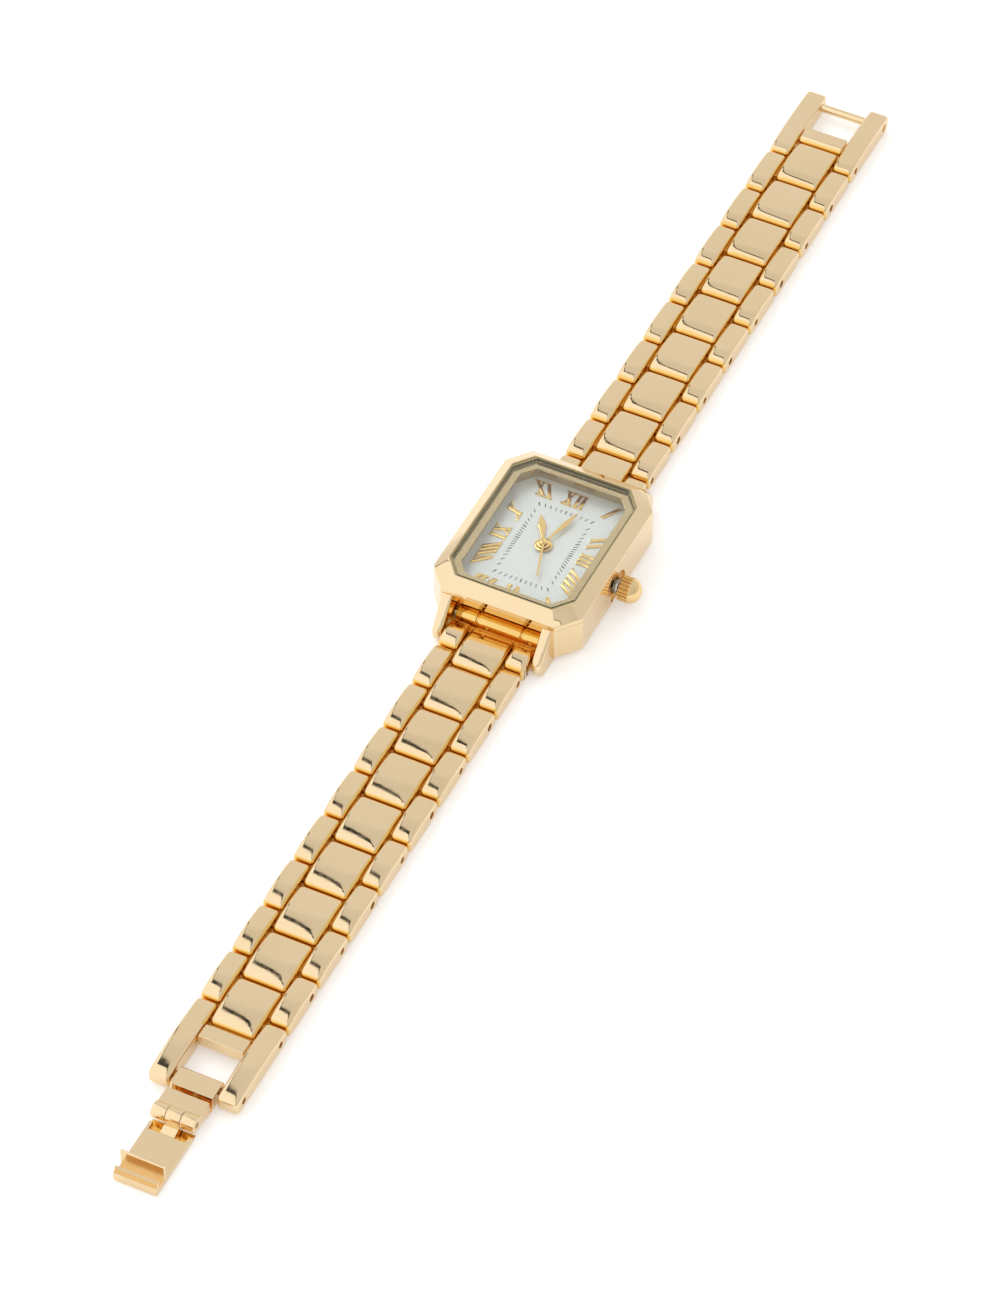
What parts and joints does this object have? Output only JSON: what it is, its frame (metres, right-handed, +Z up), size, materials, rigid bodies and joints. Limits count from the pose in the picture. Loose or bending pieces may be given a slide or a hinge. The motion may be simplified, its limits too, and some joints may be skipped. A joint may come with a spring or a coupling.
{
  "type": "wristwatch",
  "caption": "Small rectangular cut-corner wristwatch with Roman numerals, a fluted crown and an articulated link bracelet with a fold-over clasp, opened out flat.",
  "frame": {"origin": "middle of the case back's flat underside", "axes": "+X towards the crown at three o'clock, +Y towards twelve o'clock along the bracelet, +Z up through the dial"},
  "size_m": [0.0211, 0.1781, 0.0069],
  "materials": {
    "gold": "polished, gold-plated",
    "applied_gold": "polished, gold-plated",
    "wheel_brass": "satin",
    "steel": "satin",
    "crystal": "clear",
    "gasket": "matt",
    "dial": "satin silver-white",
    "spacer": "matt",
    "copper": "enamelled copper wire"
  },
  "bodies": {
    "case": {"case_body": "gold", "bezel": "gold", "crystal": "crystal", "crystal_gasket": "gasket", "flange_ring": "gold", "dial": "dial", "hour_markers": "applied_gold", "movement_plate": "steel", "movement_ring": "spacer", "battery": "steel", "coil": "copper", "crown_tube": "steel", "case_back": "gold", "back_gasket": "gasket", "spring_bars": "steel"},
    "hour_train": {"hour_hand": "applied_gold", "hour_wheel": "wheel_brass"},
    "minute_train": {"minute_hand": "applied_gold", "cannon_pinion": "wheel_brass"},
    "seconds_train": {"seconds_hand": "applied_gold", "seconds_arbor": "wheel_brass"},
    "setting": {"setting_lever": "steel"},
    "crown": {"crown": "gold", "crown_stem": "steel"},
    "end_link_12": {"end_link_12": "gold"},
    "link_12_1": {"link_12_1": "gold", "pins_12_1": "steel"},
    "link_12_2": {"link_12_2": "gold"},
    "link_12_3": {"link_12_3": "gold", "pins_12_3": "steel"},
    "link_12_4": {"link_12_4": "gold"},
    "link_12_5": {"link_12_5": "gold", "pins_12_5": "steel"},
    "link_12_6": {"link_12_6": "gold"},
    "link_12_7": {"link_12_7": "gold", "pins_12_7": "steel"},
    "link_12_8": {"link_12_8": "gold"},
    "end_frame_12": {"end_frame_12": "gold", "pins_12_9": "steel", "catch_bar": "gold"},
    "end_link_6": {"end_link_6": "gold"},
    "link_6_1": {"link_6_1": "gold", "pins_6_1": "steel"},
    "link_6_2": {"link_6_2": "gold"},
    "link_6_3": {"link_6_3": "gold", "pins_6_3": "steel"},
    "link_6_4": {"link_6_4": "gold"},
    "link_6_5": {"link_6_5": "gold", "pins_6_5": "steel"},
    "link_6_6": {"link_6_6": "gold"},
    "link_6_7": {"link_6_7": "gold", "pins_6_7": "steel"},
    "link_6_8": {"link_6_8": "gold"},
    "end_frame_6": {"end_frame_6": "gold", "pins_6_9": "steel", "frame_pin": "steel"},
    "fold_plate": {"fold_plate": "gold", "hinge_pin": "steel"},
    "latch_plate": {"latch_plate": "gold"}
  },
  "joints": [
    {"name": "minute_turn", "type": "hinge", "parent": "case", "child": "minute_train", "pos_m": [0, 0, 0], "axis": [0, 0, -1], "continuous": true},
    {"name": "hour_turn", "type": "hinge", "parent": "case", "child": "hour_train", "pos_m": [0, 0, 0], "axis": [0, 0, -1], "continuous": true},
    {"name": "seconds_turn", "type": "hinge", "parent": "case", "child": "seconds_train", "pos_m": [0, 0, 0], "axis": [0, 0, -1], "continuous": true},
    {"name": "crown_push", "type": "slide", "parent": "case", "child": "setting", "axis": [-1, 0, 0], "range_m": [0, 0.0008]},
    {"name": "crown_turn", "type": "hinge", "parent": "setting", "child": "crown", "pos_m": [0, 0, 0.0024], "axis": [1, 0, 0], "continuous": true},
    {"name": "lug_12", "type": "hinge", "parent": "case", "child": "end_link_12", "pos_m": [0, 0.0104, 0.0014], "axis": [-1, 0, 0], "range_deg": [-8, 30]},
    {"name": "bend_12_1", "type": "hinge", "parent": "end_link_12", "child": "link_12_1", "pos_m": [0, 0.0171, 0.0014], "axis": [-1, 0, 0], "range_deg": [-5, 14]},
    {"name": "bend_12_2", "type": "hinge", "parent": "link_12_1", "child": "link_12_2", "pos_m": [0, 0.0241, 0.0014], "axis": [-1, 0, 0], "range_deg": [-5, 14]},
    {"name": "bend_12_3", "type": "hinge", "parent": "link_12_2", "child": "link_12_3", "pos_m": [0, 0.0311, 0.0014], "axis": [-1, 0, 0], "range_deg": [-5, 14]},
    {"name": "bend_12_4", "type": "hinge", "parent": "link_12_3", "child": "link_12_4", "pos_m": [0, 0.0381, 0.0014], "axis": [-1, 0, 0], "range_deg": [-5, 14]},
    {"name": "bend_12_5", "type": "hinge", "parent": "link_12_4", "child": "link_12_5", "pos_m": [0, 0.0451, 0.0014], "axis": [-1, 0, 0], "range_deg": [-5, 14]},
    {"name": "bend_12_6", "type": "hinge", "parent": "link_12_5", "child": "link_12_6", "pos_m": [0, 0.0521, 0.0014], "axis": [-1, 0, 0], "range_deg": [-5, 14]},
    {"name": "bend_12_7", "type": "hinge", "parent": "link_12_6", "child": "link_12_7", "pos_m": [0, 0.0591, 0.0014], "axis": [-1, 0, 0], "range_deg": [-5, 14]},
    {"name": "bend_12_8", "type": "hinge", "parent": "link_12_7", "child": "link_12_8", "pos_m": [0, 0.0661, 0.0014], "axis": [-1, 0, 0], "range_deg": [-5, 14]},
    {"name": "bend_12_9", "type": "hinge", "parent": "link_12_8", "child": "end_frame_12", "pos_m": [0, 0.0731, 0.0014], "axis": [-1, 0, 0], "range_deg": [-5, 14]},
    {"name": "lug_6", "type": "hinge", "parent": "case", "child": "end_link_6", "pos_m": [0, -0.0104, 0.0014], "axis": [1, 0, 0], "range_deg": [-8, 30]},
    {"name": "bend_6_1", "type": "hinge", "parent": "end_link_6", "child": "link_6_1", "pos_m": [0, -0.0171, 0.0014], "axis": [1, 0, 0], "range_deg": [-5, 14]},
    {"name": "bend_6_2", "type": "hinge", "parent": "link_6_1", "child": "link_6_2", "pos_m": [0, -0.0241, 0.0014], "axis": [1, 0, 0], "range_deg": [-5, 14]},
    {"name": "bend_6_3", "type": "hinge", "parent": "link_6_2", "child": "link_6_3", "pos_m": [0, -0.0311, 0.0014], "axis": [1, 0, 0], "range_deg": [-5, 14]},
    {"name": "bend_6_4", "type": "hinge", "parent": "link_6_3", "child": "link_6_4", "pos_m": [0, -0.0381, 0.0014], "axis": [1, 0, 0], "range_deg": [-5, 14]},
    {"name": "bend_6_5", "type": "hinge", "parent": "link_6_4", "child": "link_6_5", "pos_m": [0, -0.0451, 0.0014], "axis": [1, 0, 0], "range_deg": [-5, 14]},
    {"name": "bend_6_6", "type": "hinge", "parent": "link_6_5", "child": "link_6_6", "pos_m": [0, -0.0521, 0.0014], "axis": [1, 0, 0], "range_deg": [-5, 14]},
    {"name": "bend_6_7", "type": "hinge", "parent": "link_6_6", "child": "link_6_7", "pos_m": [0, -0.0591, 0.0014], "axis": [1, 0, 0], "range_deg": [-5, 14]},
    {"name": "bend_6_8", "type": "hinge", "parent": "link_6_7", "child": "link_6_8", "pos_m": [0, -0.0661, 0.0014], "axis": [1, 0, 0], "range_deg": [-5, 14]},
    {"name": "bend_6_9", "type": "hinge", "parent": "link_6_8", "child": "end_frame_6", "pos_m": [0, -0.0731, 0.0014], "axis": [1, 0, 0], "range_deg": [-5, 14]},
    {"name": "clasp_fold", "type": "hinge", "parent": "end_frame_6", "child": "fold_plate", "pos_m": [0, -0.0813, 0.0014], "axis": [1, 0, 0], "range_deg": [0, 150]},
    {"name": "clasp_latch", "type": "hinge", "parent": "fold_plate", "child": "latch_plate", "pos_m": [0, -0.0864, 0.00165], "axis": [-1, 0, 0], "range_deg": [0, 175]}
  ],
  "couplings": [
    {"joint": "hour_turn", "follows": "minute_turn", "ratio": 0.083333},
    {"joint": "crown_turn", "follows": "minute_turn", "ratio": 4}
  ]
}
